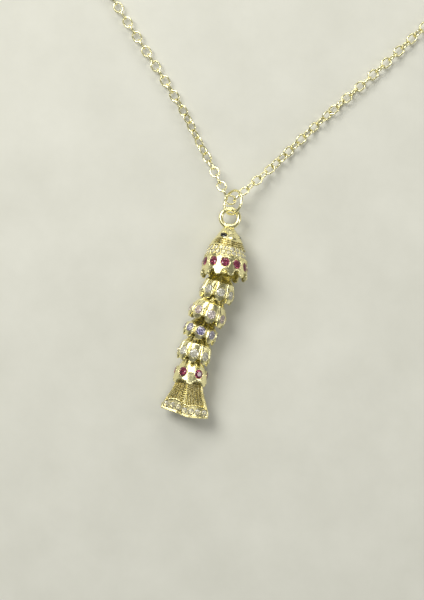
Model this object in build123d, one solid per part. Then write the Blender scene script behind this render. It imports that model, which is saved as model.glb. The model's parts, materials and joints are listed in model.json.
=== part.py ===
from build123d import *
import os
from math import sin, cos, tan, pi, radians, degrees, atan2

# Articulated fish pendant on a fine cable chain necklace.  Millimetres, +Z up.
# The pendant lies on a flat surface (z = 0) with its nose towards +Y, and every hollow
# casting rests on its own flared skirt.  The chain leaves the jump ring in a V, lies on
# the surface, and is put away in two neat coils that hold the clasp and the end tag.

os.makedirs("parts", exist_ok=True)

# ---------------------------------------------------------------- driving dimensions
BAIL = Vector(0.10, 17.40, 0)      # plan position of the bail ring's centre

# bail ring (cast with the head) and jump ring
BAIL_OUTER_D = 4.5
BAIL_WIRE_D = 0.9
JUMP_OUTER_D = 5.45
JUMP_WIRE_D = 0.52
JUMP_LEAN = 49.0                   # lean of the jump ring about the pendant's axis
JUMP_AHEAD = 3.2                   # jump ring's centre beyond the bail's centre

# castings: s is measured along the casting from its own front pivot towards the tail
WALL_LIP = 0.45                    # wall at the skirt's edge
WALL_STONE = 1.0                   # wall behind a stone
EYE_BORE_R = 0.50
EYE_OUTER_R = 0.92
EYE_THICK = 1.1
BAR_R = 0.45                       # crossbar that the next casting's eye hangs on
NECK_R = 1.9
NOTCH_W = 1.5
NOTCH_DEPTH = 0.9
STONE_D = 1.75
SINK = 0.12                        # a stone is set this far below the surface
PAVE_D = 0.95
EYE_STONE = (0.76, 0.55)           # half sizes of the fish's oval eye stone

HEAD_BAR_S = 10.3
HEAD_TIP_S = 12.4
HEAD_TIP_R = 4.75
HEAD_NOSE_DOWN = 5.0
HEAD_YAW = -5.5
HEAD_STONES = 11
HEAD_STONE_S = 9.8
HEAD_ROLL = 30.0                   # the fish's back is rolled this far to the right
FISH_EYE_S = 4.05
FISH_EYE_ANGLE = 50.0
FISH_EYE_TILT = 27.0
HEAD_BAR_HALF = 3.6                # the head's crossbar stops short of the rubies above it
HEAD_NOTCH = (1.6, 1.15)           # width and depth of the arch under each ruby
PAVE_ROWS = ((6.86, 20), (7.74, 22))

# segments: yaw, skirt radius, crossbar position, petals' phase
SEGMENTS = (
    (5.8, 3.55, 4.75, 13.0),
    (11.3, 3.90, 4.75, 13.0),
    (10.0, 3.52, 3.75, 0.0),
    (5.2, 3.45, 4.60, 0.0),
)
PETALS = 8
TIP_PAST_BAR = 1.9
STONE_PAST_BAR = 0.2

TAIL_YAW = -1.5
TAIL_R = 3.35
TAIL_STONE_S = 4.1
TAIL_COLLAR_S = 6.4
TAIL_END_S = 12.5
TAIL_PETALS = 6
TAIL_NOTCH = (2.2, 0.6)            # width and depth of the arch under each ruby
FAN_TOP_W = 5.6
FAN_END_W = 9.7
FAN_THICK = 3.0
FAN_ROOT_S = 5.8                   # the fan grows out of the collar's inside
FAN_INSET = 0.5                    # the fan's flanks are this much narrower than its rim
FAN_STONES = 7
FAN_STONE_D = 1.05
FAN_BAND = 1.9

# chain
LINK_LONG = 2.5
LINK_WIDE = 2.0
LINK_WIRE = 0.35
CHAIN_D = 2.0                      # width of the chain, treated as one limp cord
CHAIN_BEND = 0.45
COIL_R_IN = 7.0
COIL_R_OUT = 14.35
LEFT_COIL = BAIL + Vector(-30.5, 57.65, 0)
RIGHT_COIL = BAIL + Vector(30.4, 69.35, 0)
LEFT_ENTER = 222.8                 # where each strand joins its coil's outer turn
RIGHT_ENTER = -35.5

COIL_PITCH = 2.1
COIL_STEPS = 14
CURL_IN = 60.0                     # the last links curl in this far round the coil to their ring
CURL_LENGTH = 8.0
COIL_START_R = COIL_R_OUT - CHAIN_D / 2 - 0.05
LINK_RING_R = 1.0
LINK_RING_WIRE = 0.5
EYELET_THICK = 0.5
EYELET_HOLE_R = 0.6
CLASP_THICK = 2.2
CLASP_SLOT = 1.3
CLASP_NOSE = (-2.0, 2.55)          # place along the clasp and radius of its round nose
CLASP_HEEL = (2.0, 1.8)
CLASP_MOUTH = ((-2.0, 1.45), (0.6, 0.8))
CLASP_EYE_X = 4.6
CLASP_BACK = 1.15                  # the clasp's middle sits this far past the coil's centre
CLASP_PIVOT = (1.9, 0.75)
CLASP_PIN_R = 0.3
LEVER_TIP = (-2.3, 1.95)
LEVER_THUMB = (3.0, 2.5)
LEVER_THICK = 0.7
LEVER_Z = 0.5
SPRING_WIRE_R = 0.13
TAG_R = 2.2
TAG_THICK = 0.8
TAG_HOLE_R = 1.3
TAG_EYE_X = 3.0
TAG_LEAN = 8.0
TAG_Z = 1.1
TAG_BACK = 1.2
LINK_RING_LEAN = 50.0
CHAIN_HALF = 222.0                 # from the middle link to the clasp's or tag's ring

# where the chain passes through the jump ring, from the bail's centre
KNOT = Vector(-0.62, 3.6, 0)
KNOT_REACH = 0.66                  # from the middle link's centre to where a strand hangs on it
KNOT_SLOPE = 0.18
SWING_AHEAD = 0.9                  # the jump ring swings about the middle link's far side
LEFT_LEAVES = -34.5                # heading of each strand as it leaves the jump ring
RIGHT_LEAVES = 36.0

# route of each strand in plan from the bail's centre, with its height
LEFT_ROUTE = (
    (-5.4, 9.6, 1.75),
    (-9.3, 14.2, 1.1),
    (-13.1, 19.4, 1.0),
    (-18.6, 25.3, 1.0),
    (-25.4, 32.4, 1.0),
    (-32.6, 39.9, 1.0),
)
RIGHT_ROUTE = (
    (5.3, 10.6, 1.65),
    (8.9, 15.9, 1.1),
    (13.0, 21.9, 1.0),
    (18.2, 28.9, 1.0),
    (25.3, 38.3, 1.0),
    (33.4, 50.2, 1.0),
)


def at(x, y, z=0.0):
    return Vector(x, y, z)


def write(node, solids):
    """One STEP file per node; several solids are kept as separate solids."""
    solids = solids if isinstance(solids, (list, tuple, ShapeList)) else [solids]
    flat = []
    for item in solids:
        flat.extend(item.solids())
    shape = flat[0] if len(flat) == 1 else Compound(children=flat)
    export_step(shape, f"parts/{node}.step")
    return flat


# ---------------------------------------------------------------- placing a casting
class Place:
    """Local frame of a casting: x to the right, y up, z towards the tail."""

    def __init__(self, origin, yaw, nose_down=0.0):
        a, b = radians(yaw), radians(nose_down)
        self.tail = Vector(-sin(a) * cos(b), -cos(a) * cos(b), sin(b))
        self.right = Vector(cos(a), -sin(a), 0)
        self.origin = origin
        self.loc = Plane(origin=origin, x_dir=self.right, z_dir=self.tail).location

    def along(self, s):
        return self.origin + self.tail * s


def radial(angle, s, r):
    """Local frame on a casting's side: z points outwards at an angle from the top."""
    a = radians(angle)
    out = Vector(sin(a), cos(a), 0)
    return Plane(origin=out * r + Vector(0, 0, s), x_dir=Vector(0, 0, 1), z_dir=out).location


def turned(points):
    """Solid of revolution about the casting's axis from (s, r) points."""
    line = Polyline(*[(r, 0, s) for s, r in points], close=True)
    return revolve(make_face(line), Axis.Z, 360)


def radius_at(points, s):
    for (s0, r0), (s1, r1) in zip(points, points[1:]):
        if s0 <= s <= s1:
            return r0 + (r1 - r0) * (s - s0) / (s1 - s0)
    return points[-1][1]


# ---------------------------------------------------------------- stones
def stone(d):
    """Round cut stone: table, crown, girdle and pavilion; its girdle is at z = 0."""
    r = d / 2
    table = 0.55 * r
    crown, girdle, pavilion = 0.28 * r, 0.06 * r, 0.84 * r
    profile = Polyline((0, 0, crown), (table, 0, crown), (r, 0, girdle / 2),
                       (r, 0, -girdle / 2), (0, 0, -pavilion), close=True)
    return revolve(make_face(profile), Axis.Z, 360)


def seat(d):
    """The hole that a stone sits in."""
    r = d / 2
    profile = Polyline((0, 0, 0.4), (r, 0, 0.4), (r, 0, -0.03 * r), (0, 0, -0.84 * r), close=True)
    return revolve(make_face(profile), Axis.Z, 360)


def ring_of(solid, count, phase, s, r):
    step = 360 / count
    return [radial(phase + step * i, s, r) * solid for i in range(count)]


def cut_all(body, tools):
    for tool in tools:
        body = body - tool
    return body


# ---------------------------------------------------------------- castings
def skirt_notches(count, phase, tip_s, r, width, depth):
    """Cut the arches between the petals of a skirt's edge."""
    tools = []
    for i in range(count):
        a = phase + 360 / count * (i + 0.5)
        arch = Cylinder(width / 2, 3.0)
        slot = Pos(1.0, 0, 0) * Box(2.0, width, 3.0)
        tools.append(radial(a, tip_s - depth + width / 2, r) * (arch + slot))
    return tools


def front_eye(place):
    """Lug with a vertical hole that hangs on the crossbar in front."""
    lug = Cylinder(EYE_OUTER_R, EYE_THICK)
    stem = Pos(0, -0.72, 0) * Box(1.1, 1.0, EYE_THICK)
    hole = Cylinder(EYE_BORE_R, EYE_THICK * 2)
    lug = (lug + stem) - hole
    yaw = degrees(atan2(-place.tail.X, -place.tail.Y))
    return Location(place.origin) * Rot(0, 0, -yaw) * lug


def crossbar(place, s, length):
    """Vertical bar through a casting's axis."""
    return Location(place.along(s)) * Cylinder(BAR_R, length)


def segment(place, skirt_r, bar_s, phase):
    """A hollow tulip bell with one stone on each petal."""
    tip = bar_s + TIP_PAST_BAR
    stone_s = bar_s + STONE_PAST_BAR
    outer = [(1.0, 1.0), (1.25, NECK_R), (2.0, 2.2), (2.4, 2.5), (2.95, 3.0),
             (stone_s - 0.55, skirt_r - 0.3), (stone_s, skirt_r - 0.2), (tip, skirt_r)]
    inner = [(2.2, 0), (2.35, 1.25), (stone_s - 1.0, skirt_r - 1.35),
             (stone_s, skirt_r - 0.2 - WALL_STONE), (stone_s + 0.9, skirt_r - 0.75),
             (tip, skirt_r - WALL_LIP)]
    solid = turned([(1.0, 0)] + outer + [(tip, 0)])
    hollow = turned(inner + [(tip + 0.5, skirt_r - WALL_LIP), (tip + 0.5, 0)])
    shell = solid - hollow
    shell = cut_all(shell, skirt_notches(PETALS, phase, tip, skirt_r, NOTCH_W, NOTCH_DEPTH))
    seat_r = skirt_r - 0.2 - SINK
    shell = cut_all(shell, ring_of(seat(STONE_D), PETALS, phase, stone_s, seat_r))
    stones = ring_of(stone(STONE_D), PETALS, phase, stone_s, seat_r)
    bar = crossbar(place, bar_s, 2 * (skirt_r - 1.1))
    shell = (place.loc * shell) - bar
    eye = front_eye(place)
    shell = shell - eye
    return shell, [place.loc * g for g in stones], bar, eye


def head(place):
    """The fish's head: a cone with a pavé band, a row of rubies and a scalloped skirt."""
    outer = [(2.0, 0.9), (2.4, 1.3), (3.5, 2.05), (5.1, 3.1), (6.6, 3.75), (9.0, 4.4),
             (HEAD_TIP_S, HEAD_TIP_R)]
    inner = [(6.0, 0), (6.3, 1.6), (8.0, 2.75), (9.6, 3.3), (10.8, 3.4), (11.4, 3.95),
             (HEAD_TIP_S, HEAD_TIP_R - WALL_LIP)]
    solid = turned([(2.0, 0)] + outer + [(HEAD_TIP_S, 0)])
    hollow = turned(inner + [(HEAD_TIP_S + 0.6, HEAD_TIP_R - WALL_LIP), (HEAD_TIP_S + 0.6, 0)])
    shell = solid - hollow
    shell = cut_all(shell, skirt_notches(HEAD_STONES, -180 / HEAD_STONES, HEAD_TIP_S, HEAD_TIP_R,
                                         *HEAD_NOTCH))
    ruby_r = radius_at(outer, HEAD_STONE_S) - SINK
    shell = cut_all(shell, ring_of(seat(STONE_D), HEAD_STONES, 0, HEAD_STONE_S, ruby_r))
    rubies = ring_of(stone(STONE_D), HEAD_STONES, 0, HEAD_STONE_S, ruby_r)
    pave = []
    for s, count in PAVE_ROWS:
        r = radius_at(outer, s)
        shell = cut_all(shell, ring_of(seat(PAVE_D), count, 0, s, r))
        pave += ring_of(stone(PAVE_D), count, 0, s, r)
    eyes = []
    for side in (-1, 1):
        spot = radial(HEAD_ROLL + side * FISH_EYE_ANGLE, FISH_EYE_S, radius_at(outer, FISH_EYE_S))
        oval = extrude(Ellipse(EYE_STONE[1], EYE_STONE[0]), 0.55)
        oval = spot * (Pos(0, 0, -0.4) * Rot(0, 0, side * FISH_EYE_TILT) * oval)
        eyes.append(oval)
        shell = shell - oval
    bar = crossbar(place, HEAD_BAR_S, 2 * HEAD_BAR_HALF)
    shell = (place.loc * shell) - bar
    ring = Torus((BAIL_OUTER_D - BAIL_WIRE_D) / 2, BAIL_WIRE_D / 2).rotate(Axis.X, 90)
    bail = place.loc * ring
    shell = shell - bail
    return shell, bail, [place.loc * g for g in rubies], [place.loc * g for g in pave], \
        [place.loc * g for g in eyes], bar


def tail(place):
    """Collar with six rubies and a ribbed fan with a pavé rim."""
    outer = [(1.0, 1.0), (1.25, NECK_R), (2.0, 2.2), (2.75, 2.6),
             (TAIL_STONE_S, TAIL_R - 0.15), (TAIL_COLLAR_S, TAIL_R)]
    collar = turned([(1.0, 0)] + outer + [(TAIL_COLLAR_S, 0)])
    collar = cut_all(collar, skirt_notches(TAIL_PETALS, 0, TAIL_COLLAR_S, TAIL_R + 1.0, *TAIL_NOTCH))
    half_top, half_end = FAN_TOP_W / 2, FAN_END_W / 2
    rim_mid = TAIL_END_S + 0.1
    outline = Polyline((-half_top, FAN_ROOT_S), (half_top, FAN_ROOT_S),
                       (half_end - FAN_INSET, TAIL_END_S - FAN_BAND), (half_end, TAIL_END_S - 0.9))
    low_edge = Spline((half_end, TAIL_END_S - 0.9), (half_end * 0.55, rim_mid + 0.35),
                      (0, rim_mid - 0.35), (-half_end * 0.6, rim_mid - 0.2),
                      (-half_end, TAIL_END_S - 1.6))
    left = Polyline((-half_end, TAIL_END_S - 1.6),
                    (-half_end + FAN_INSET, TAIL_END_S - FAN_BAND - 0.4), (-half_top, FAN_ROOT_S))
    fan = extrude(make_face(outline + low_edge + left), FAN_THICK / 2, both=True)
    fan = Rot(90, 0, 0) * fan          # what was up in the outline now points along the casting
    body = collar + fan
    ruby_r = TAIL_R - 0.15 - SINK
    body = cut_all(body, ring_of(seat(STONE_D), TAIL_PETALS, 30, TAIL_STONE_S, ruby_r))
    rubies = ring_of(stone(STONE_D), TAIL_PETALS, 30, TAIL_STONE_S, ruby_r)
    pave = []
    pitch = (FAN_END_W - 1.6) / (FAN_STONES - 1)
    for side in (-1, 1):
        for i in range(FAN_STONES):
            x = -FAN_END_W / 2 + 0.8 + pitch * i
            s = TAIL_END_S - 1.15 - 0.3 * cos(2 * pi * (x / FAN_END_W))
            spot = Plane(origin=(x, side * FAN_THICK / 2, s), x_dir=(1, 0, 0),
                         z_dir=(0, side, 0)).location
            pave.append(spot * stone(FAN_STONE_D))
            body = body - spot * seat(FAN_STONE_D)
    eye = front_eye(place)
    body = (place.loc * body) - eye
    return body, [place.loc * g for g in rubies], [place.loc * g for g in pave], eye


# ---------------------------------------------------------------- chain
def link(centre, direction, normal):
    """One oval cable link, its long axis along direction and its flat face along normal."""
    half_l = (LINK_LONG - LINK_WIDE) / 2
    r = (LINK_WIDE - LINK_WIRE) / 2
    path = (Line((-half_l, r, 0), (half_l, r, 0)) + CenterArc((half_l, 0, 0), r, 90, -180)
            + Line((half_l, -r, 0), (-half_l, -r, 0)) + CenterArc((-half_l, 0, 0), r, 270, -180))
    bars = [Pos(0, y, 0) * Cylinder(LINK_WIRE / 2, 2 * half_l).rotate(Axis.Y, 90) for y in (-r, r)]
    shape = bars[0] + bars[1]
    for x, start in ((half_l, -90), (-half_l, 90)):
        bend = Torus(r, LINK_WIRE / 2)
        keep = Pos(x / abs(x) * 2, 0, 0) * Box(4, 4, 4)
        shape = shape + Pos(x, 0, 0) * (bend & keep)
    frame = Plane(origin=centre, x_dir=direction, z_dir=normal)
    return frame.location * shape


def chain_run(points):
    """A tube along straight runs joined by tangent arcs, with its radii and its volume."""
    radii = []
    for a, b, c in zip(points, points[1:], points[2:]):
        turn = radians((b - a).get_angle(c - b))
        radii.append(CHAIN_BEND * min((b - a).length, (c - b).length) / tan(turn / 2))
    path = FilletPolyline(*points, radius=radii)
    start = Plane(origin=path @ 0, z_dir=path % 0)
    tube = sweep(start * Circle(CHAIN_D / 2), path=path)
    section = pi * CHAIN_D ** 2 / 4
    print("  arc radii, mm:", [round(r, 1) for r in radii])
    print(f"  length {path.length:.1f} mm, volume {tube.volume:.1f} mm3, "
          f"section x length {section * path.length:.1f} mm3")
    return tube, path.length


def coil(centre):
    """Outer shape of the flat spiral that holds the put-away length."""
    return Location(centre + at(0, 0, CHAIN_D / 2)) * (
        Cylinder(COIL_R_OUT, CHAIN_D) - Cylinder(COIL_R_IN, CHAIN_D * 2))


def on_coil(centre, angle, r):
    """Point on the chain's centre line as it lies in a coil."""
    return centre + at(r * cos(radians(angle)), r * sin(radians(angle)), CHAIN_D / 2)


def wind(centre, angle, turn_sign, length):
    """Wind a length of chain inwards: how many steps it takes, its last angle and radius."""
    r = COIL_START_R
    here = on_coil(centre, angle, r)
    steps, run = 0, 0.0
    while run < length:
        angle += turn_sign * 360 / COIL_STEPS
        r -= COIL_PITCH / COIL_STEPS
        before, here = here, on_coil(centre, angle, r)
        run += (here - before).length
        steps += 1
    return steps, angle, r


def link_ring(centre, along_deg):
    """Small round ring leaning over, which joins the chain's end to an eyelet."""
    ring = Torus(LINK_RING_R, LINK_RING_WIRE / 2)
    return Location(centre) * Rot(0, 0, along_deg) * Rot(LINK_RING_LEAN, 0, 0) * ring


# ---------------------------------------------------------------- clasp
def clasp(place):
    """Lobster clasp: body with two cheeks, sprung gate lever, pivot pin and coil spring."""
    def hull_of(first, second):
        return make_hull((Pos(first[0], 0) * Circle(first[1])
                          + Pos(second[0], 0) * Circle(second[1])).edges())

    mid_z = CLASP_THICK / 2
    body = extrude(hull_of(CLASP_NOSE, CLASP_HEEL) - hull_of(*CLASP_MOUTH), CLASP_THICK)
    body = body - Pos(-0.875, 2.0, mid_z) * Box(3.75, 3.0, 4)      # the opening under the gate
    body = body - Pos(2.6, 1.6, mid_z) * Box(3.4, 3.6, CLASP_SLOT)  # the slot between the cheeks
    eyelet = Pos(CLASP_EYE_X, 0, mid_z) * Cylinder(1.0, EYELET_THICK)
    stem = Pos(CLASP_EYE_X - 0.9, 0, mid_z) * Box(1.0, 1.2, EYELET_THICK)
    body = body + (eyelet + stem)
    body = body - Pos(CLASP_EYE_X, 0, mid_z) * Cylinder(EYELET_HOLE_R, 3)
    pivot = Pos(*CLASP_PIVOT)
    at_pivot = Pos(*CLASP_PIVOT, mid_z)
    pin = at_pivot * Cylinder(CLASP_PIN_R, CLASP_THICK)
    body = body - pin
    arm = make_hull((pivot * Circle(0.62) + Pos(*LEVER_TIP) * Circle(0.3)).edges())
    thumb = make_hull((pivot * Circle(0.62) + Pos(*LEVER_THUMB) * Circle(0.5)).edges())
    lever = Pos(0, 0, LEVER_Z) * extrude(arm + thumb, LEVER_THICK)
    lever = lever - at_pivot * Cylinder(CLASP_PIN_R + 0.05, 4)
    wire = SPRING_WIRE_R
    spring_z = LEVER_Z + LEVER_THICK + 0.03 + wire
    turns = [Pos(*CLASP_PIVOT, spring_z + 1.8 * wire * i) * Torus(CLASP_PIN_R + 0.03 + wire, wire)
             for i in range(2)]
    return [place * solid for solid in (body, lever, pin, turns[0] + turns[1])]


def end_tag(place):
    """Flat tag with a round hole that the clasp hooks into, and a small eyelet."""
    disc = Cylinder(TAG_R, TAG_THICK) - Cylinder(TAG_HOLE_R, TAG_THICK * 2)
    eyelet = Pos(TAG_EYE_X, 0, 0) * Cylinder(1.0, EYELET_THICK)
    bridge = Pos(TAG_EYE_X - 0.75, 0, 0) * Box(0.9, 1.2, EYELET_THICK)
    tag = disc + (bridge - Cylinder(TAG_R - 0.2, 3)) + eyelet
    tag = tag - Pos(TAG_EYE_X, 0, 0) * Cylinder(EYELET_HOLE_R, 3)
    return place * tag


# ---------------------------------------------------------------- frames of the castings
# the head's nose is down a little, and its skirt's lower edge rests on the surface
head_z = HEAD_TIP_R * cos(radians(HEAD_NOSE_DOWN)) - HEAD_TIP_S * sin(radians(HEAD_NOSE_DOWN))
bail = BAIL + at(0, 0, head_z)
head_place = Place(bail, HEAD_YAW, HEAD_NOSE_DOWN)
hinge = head_place.along(HEAD_BAR_S)

segment_places = []
for yaw, skirt_r, bar_s, phase in SEGMENTS:
    place = Place(at(hinge.X, hinge.Y, skirt_r), yaw)
    segment_places.append(place)
    hinge = place.along(bar_s)
tail_place = Place(at(hinge.X, hinge.Y, TAIL_R), TAIL_YAW)

# ---------------------------------------------------------------- pendant
nodes = {}
shell, bail_ring, rubies, pave, fish_eyes, bar = head(head_place)
nodes["head_shell"] = shell
nodes["bail_ring"] = bail_ring
nodes["head_ruby_stones"] = rubies
nodes["head_pave_stones"] = pave
nodes["eye_stones"] = fish_eyes
nodes["head_crossbar"] = bar

for number, (place, spec) in enumerate(zip(segment_places, SEGMENTS), start=1):
    yaw, skirt_r, bar_s, phase = spec
    shell, stones, bar, eye = segment(place, skirt_r, bar_s, phase)
    nodes[f"segment_{number}_shell"] = shell
    nodes[f"segment_{number}_stones"] = stones
    nodes[f"segment_{number}_crossbar"] = bar
    nodes[f"segment_{number}_eye"] = eye

shell, rubies, pave, eye = tail(tail_place)
nodes["tail_shell"] = shell
nodes["tail_ruby_stones"] = rubies
nodes["tail_pave_stones"] = pave
nodes["tail_eye"] = eye

# jump ring: its plane holds the pendant's axis and leans over with its right side up
jump_centre = bail + at(0, JUMP_AHEAD, 0)
lean = radians(JUMP_LEAN)
jump_frame = Plane(origin=jump_centre, x_dir=(0, 1, 0), z_dir=(-sin(lean), 0, cos(lean)))
nodes["jump_ring"] = jump_frame.location * Torus((JUMP_OUTER_D - JUMP_WIRE_D) / 2, JUMP_WIRE_D / 2)

# ---------------------------------------------------------------- chain at the jump ring
knot = bail + KNOT
half_wire = (LINK_LONG - LINK_WIRE) / 2
side_links = []
starts = []
for side, heading in ((-1, LEFT_LEAVES), (1, RIGHT_LEAVES)):
    a = radians(heading)
    way = at(sin(a), cos(a), 0)
    foot = knot + at(side, 0, -side * KNOT_SLOPE) * KNOT_REACH
    side_links.append(link(foot + way * half_wire, way, at(cos(a), -sin(a), 0)))
    starts.append(foot + way * (LINK_LONG + 0.05 - LINK_WIRE / 2))
middle_link = link(knot, at(1, 0, -KNOT_SLOPE), at(KNOT_SLOPE, 0, 1))
nodes["chain_middle_links"] = [side_links[0], middle_link, side_links[1]]

# ---------------------------------------------------------------- runs, coils and ends
curl_end = {}
for side, route, start, centre, enter, sign in (
    ("left", LEFT_ROUTE, starts[0], LEFT_COIL, LEFT_ENTER, -1),
    ("right", RIGHT_ROUTE, starts[1], RIGHT_COIL, RIGHT_ENTER, 1),
):
    points = [start] + [BAIL + at(*p) for p in route] + [on_coil(centre, enter, COIL_START_R)]
    print(f"chain_{side}_run")
    tube, length = chain_run(points)
    left_over = CHAIN_HALF - length - LINK_LONG
    steps, end_angle, end_r = wind(centre, enter, sign, left_over - CURL_LENGTH)
    print(f"  put away in the coil: {left_over:.1f} mm in {steps} steps, "
          f"ends at {end_angle % 360:.0f} deg, radius {end_r:.1f}")
    nodes[f"chain_{side}_run"] = tube
    nodes[f"chain_{side}_coil"] = coil(centre)
    curl_end[side] = end_angle + sign * CURL_IN

# clasp in the middle of the left coil, its eyelet towards the chain's end
angle = curl_end["left"]
clasp_place = Location(LEFT_COIL) * Rot(0, 0, angle) * Pos(-CLASP_BACK, 0, 0)
body, lever, pin, spring = clasp(clasp_place)
nodes["clasp_body"] = body
nodes["clasp_lever"] = lever
nodes["clasp_pin"] = pin
nodes["clasp_spring"] = spring
ring_at = clasp_place * Pos(CLASP_EYE_X + LINK_RING_R, 0, CLASP_THICK / 2)
nodes["clasp_link_ring"] = link_ring(ring_at.position, angle)

# end tag in the middle of the right coil
angle = curl_end["right"]
tag_place = Location(RIGHT_COIL + at(0, 0, TAG_Z)) * Rot(0, 0, angle) \
    * Pos(TAG_EYE_X - TAG_BACK, 0, 0) * Rot(0, -TAG_LEAN, 0) * Pos(-TAG_EYE_X, 0, 0)
nodes["end_tag"] = end_tag(tag_place)
ring_at = tag_place * Pos(TAG_EYE_X + LINK_RING_R, 0, 0)
nodes["tag_link_ring"] = link_ring(at(ring_at.position.X, ring_at.position.Y, TAG_Z), angle)

# ---------------------------------------------------------------- write and report
low, high = None, None
for node, solids in nodes.items():
    flat = write(node, solids)
    if node.startswith(("chain", "clasp", "tag", "end_tag")):
        continue
    for solid in flat:
        box = solid.bounding_box()
        low = box.min if low is None else at(*(min(p, q) for p, q in zip(low, box.min)))
        high = box.max if high is None else at(*(max(p, q) for p, q in zip(high, box.max)))
print("pendant box, mm:", low, high, "middle:", (low + high) * 0.5)

print("bail", bail, "knot", knot, "swing axis through", knot + at(0, SWING_AHEAD, 0))
for number, place in enumerate(segment_places, start=1):
    print(f"hinge in front of segment_{number}", place.origin)
print("hinge in front of tail", tail_place.origin)
print("clasp pivot", (clasp_place * Pos(*CLASP_PIVOT, CLASP_THICK / 2)).position)
print("tag hole", tag_place.position, "axis", Plane(tag_place).z_dir)
print("run starts", starts, "curl ends", curl_end)
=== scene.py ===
import json
from math import cos, pi, radians, sin

import bmesh
import bpy
import numpy as np
from mathutils import Matrix, Vector


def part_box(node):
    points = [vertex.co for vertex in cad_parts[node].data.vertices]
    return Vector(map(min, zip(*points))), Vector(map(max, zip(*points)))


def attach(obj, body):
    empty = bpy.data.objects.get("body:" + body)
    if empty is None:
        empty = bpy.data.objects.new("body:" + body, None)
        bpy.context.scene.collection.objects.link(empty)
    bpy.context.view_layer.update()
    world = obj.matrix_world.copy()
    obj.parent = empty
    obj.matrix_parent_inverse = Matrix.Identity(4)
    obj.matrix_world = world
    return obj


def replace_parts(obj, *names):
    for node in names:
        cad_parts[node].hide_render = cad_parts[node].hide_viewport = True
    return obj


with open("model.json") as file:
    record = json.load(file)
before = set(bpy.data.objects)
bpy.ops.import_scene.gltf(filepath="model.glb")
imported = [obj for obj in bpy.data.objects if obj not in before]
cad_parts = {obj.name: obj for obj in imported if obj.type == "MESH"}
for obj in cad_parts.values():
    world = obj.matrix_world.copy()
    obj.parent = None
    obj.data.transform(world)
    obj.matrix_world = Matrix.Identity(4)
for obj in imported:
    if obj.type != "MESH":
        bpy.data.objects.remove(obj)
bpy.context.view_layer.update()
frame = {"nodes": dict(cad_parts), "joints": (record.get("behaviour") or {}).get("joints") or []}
MM = 0.001                          # sizes are in millimetres unless a comment says metres
rng = np.random.default_rng(7)      # turns the chain's links a little

# ---------------------------------------------------------------- driving sizes
# s is the distance from a casting's pivot towards the tail
BAIL_WIRE = 0.90
BAIL_D = 4.5
JUMP_WIRE = 0.52
JUMP_D = 5.45
JUMP_LEAN = 49.0                    # lean of the jump ring about the pendant's axis
JUMP_CUT = 252                      # where round the jump ring its cut is
STONE_R = 0.875
SINK = 0.12                         # a stone is set this far below the surface
STONE_LEAN = 0.12                   # and faces this much towards the nose, in radians
HEAD_ROLL = 30.0                    # the fish's back is rolled this far to the right
HEAD_STONES = 11
HEAD_STONE_S = 9.8
HEAD_TIP_S = 12.4
HEAD_SLANT = 0.25                   # the rows on the head run this much further down on its right
BAND_TOP, BAND_END = 6.32, 8.28     # the sunken band that holds the head's pave stones
PAVE_ROWS = ((6.86, 20, 0.0), (7.74, 22, 7.0))      # s, number of stones and phase of each row
PAVE_R = 0.46
GILLS = 3
GILL_PITCH = 0.44
FISH_EYE_S = 4.05
FISH_EYE_R = 0.66
FISH_EYE_SHAPE = (1.15, 0.84)
FISH_EYE_ANGLE = 50.0
FISH_EYE_TILT = 27.0
PETALS = 8
TIP_PAST_BAR = 1.9                  # a segment's skirt ends this far past its crossbar
STONE_PAST_BAR = 0.2
SEGMENT_RADII = (3.55, 3.90, 3.52, 3.45)
SEGMENT_PHASES = (13.0, 13.0, 0.0, 0.0)
TAIL_YAW = -1.5
TAIL_R = 3.35
TAIL_STONE_S = 4.1
TAIL_COLLAR_S = 6.4
TAIL_PETALS = 6
TAIL_PHASE = 30.0                   # angle of the tail's first ruby from the top


# ---------------------------------------------------------------- meshes
def mesh_piece(name, points, faces, body, slot, material, smooth=True):
    """A mesh object from points in millimetres, riding on a CAD body."""
    mesh = bpy.data.meshes.new(name)
    mesh.from_pydata((np.asarray(points) * MM).tolist(), [], faces)
    mesh.validate()
    shape = bmesh.new()
    shape.from_mesh(mesh)
    bmesh.ops.recalc_face_normals(shape, faces=shape.faces)
    shape.to_mesh(mesh)
    shape.free()
    mesh.polygons.foreach_set("use_smooth", [smooth] * len(mesh.polygons))
    mesh.materials.append(material)
    piece = bpy.data.objects.new(name, mesh)
    bpy.context.scene.collection.objects.link(piece)
    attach(piece, body)
    return piece


def joined(parts):
    """Points and faces of several (points, faces) parts as one."""
    points, faces, offset = [], [], 0
    for p, f in parts:
        points.append(np.asarray(p, float))
        faces.extend([tuple(i + offset for i in face) for face in f])
        offset += len(p)
    return np.concatenate(points), faces


def grid_faces(rows, columns, round_columns=True, round_rows=False, flip=False):
    """Quads between the rows of a grid whose points are numbered row by row."""
    faces = []
    for i in range(rows if round_rows else rows - 1):
        for j in range(columns if round_columns else columns - 1):
            a, b = i * columns + j, i * columns + (j + 1) % columns
            c, d = ((i + 1) % rows) * columns + (j + 1) % columns, ((i + 1) % rows) * columns + j
            faces.append((a, d, c, b) if flip else (a, b, c, d))
    return faces


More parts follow.
